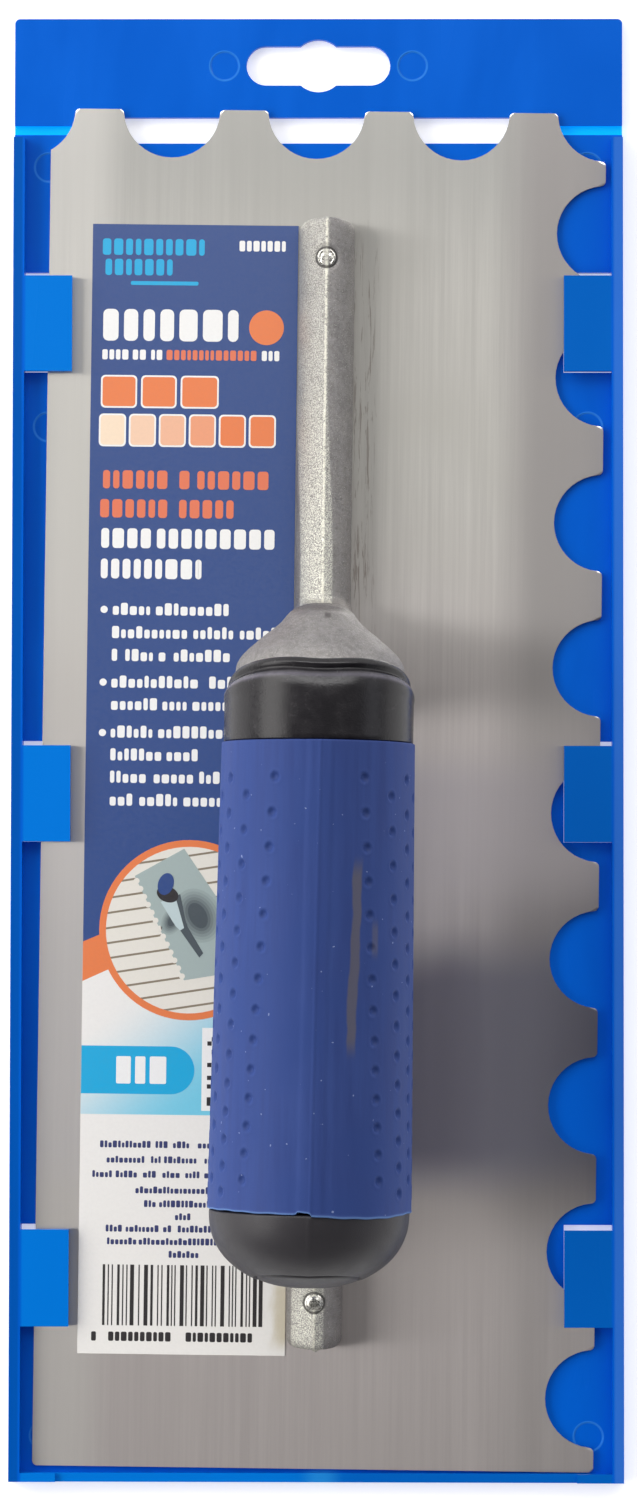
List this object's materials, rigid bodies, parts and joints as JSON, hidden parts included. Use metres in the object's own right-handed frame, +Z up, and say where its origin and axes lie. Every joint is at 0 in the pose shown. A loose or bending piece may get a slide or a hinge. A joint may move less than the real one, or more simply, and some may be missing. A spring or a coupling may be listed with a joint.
{
  "type": "notched trowel",
  "caption": "Hand trowel for spreading tile adhesive: notched steel blade on a cast shank with a soft-grip handle, lying in a slide-off blade guard with a hanging slot.",
  "frame": {"origin": "centre of the blade guard's footprint, on its underside", "axes": "+Z up through the blade to the grip, +Y along the blade to the short notched edge, +X to the long notched edge"},
  "size_m": [0.1292, 0.3033, 0.0795],
  "materials": {
    "blade_steel": "brushed along its length",
    "cast_aluminium": "rough as cast",
    "rivet_metal": "plain, closed ends polished by the tool",
    "black_plastic": "satin",
    "blue_soft_grip": "matte, dimpled",
    "label_paper": "printed, light sheen",
    "guard_plastic": "satin moulded"
  },
  "bodies": {
    "trowel": {"blade": "blade_steel", "shank": "cast_aluminium", "blade_rivets": "rivet_metal", "handle_core": "black_plastic", "grip_sleeve": "blue_soft_grip", "product_label": "label_paper"},
    "guard": {"blade_guard": "guard_plastic"}
  },
  "joints": [
    {"name": "guard_slide", "type": "slide", "parent": "trowel", "child": "guard", "axis": [0.0105, -0.9999, 0], "range_m": [0, 0.3]}
  ]
}
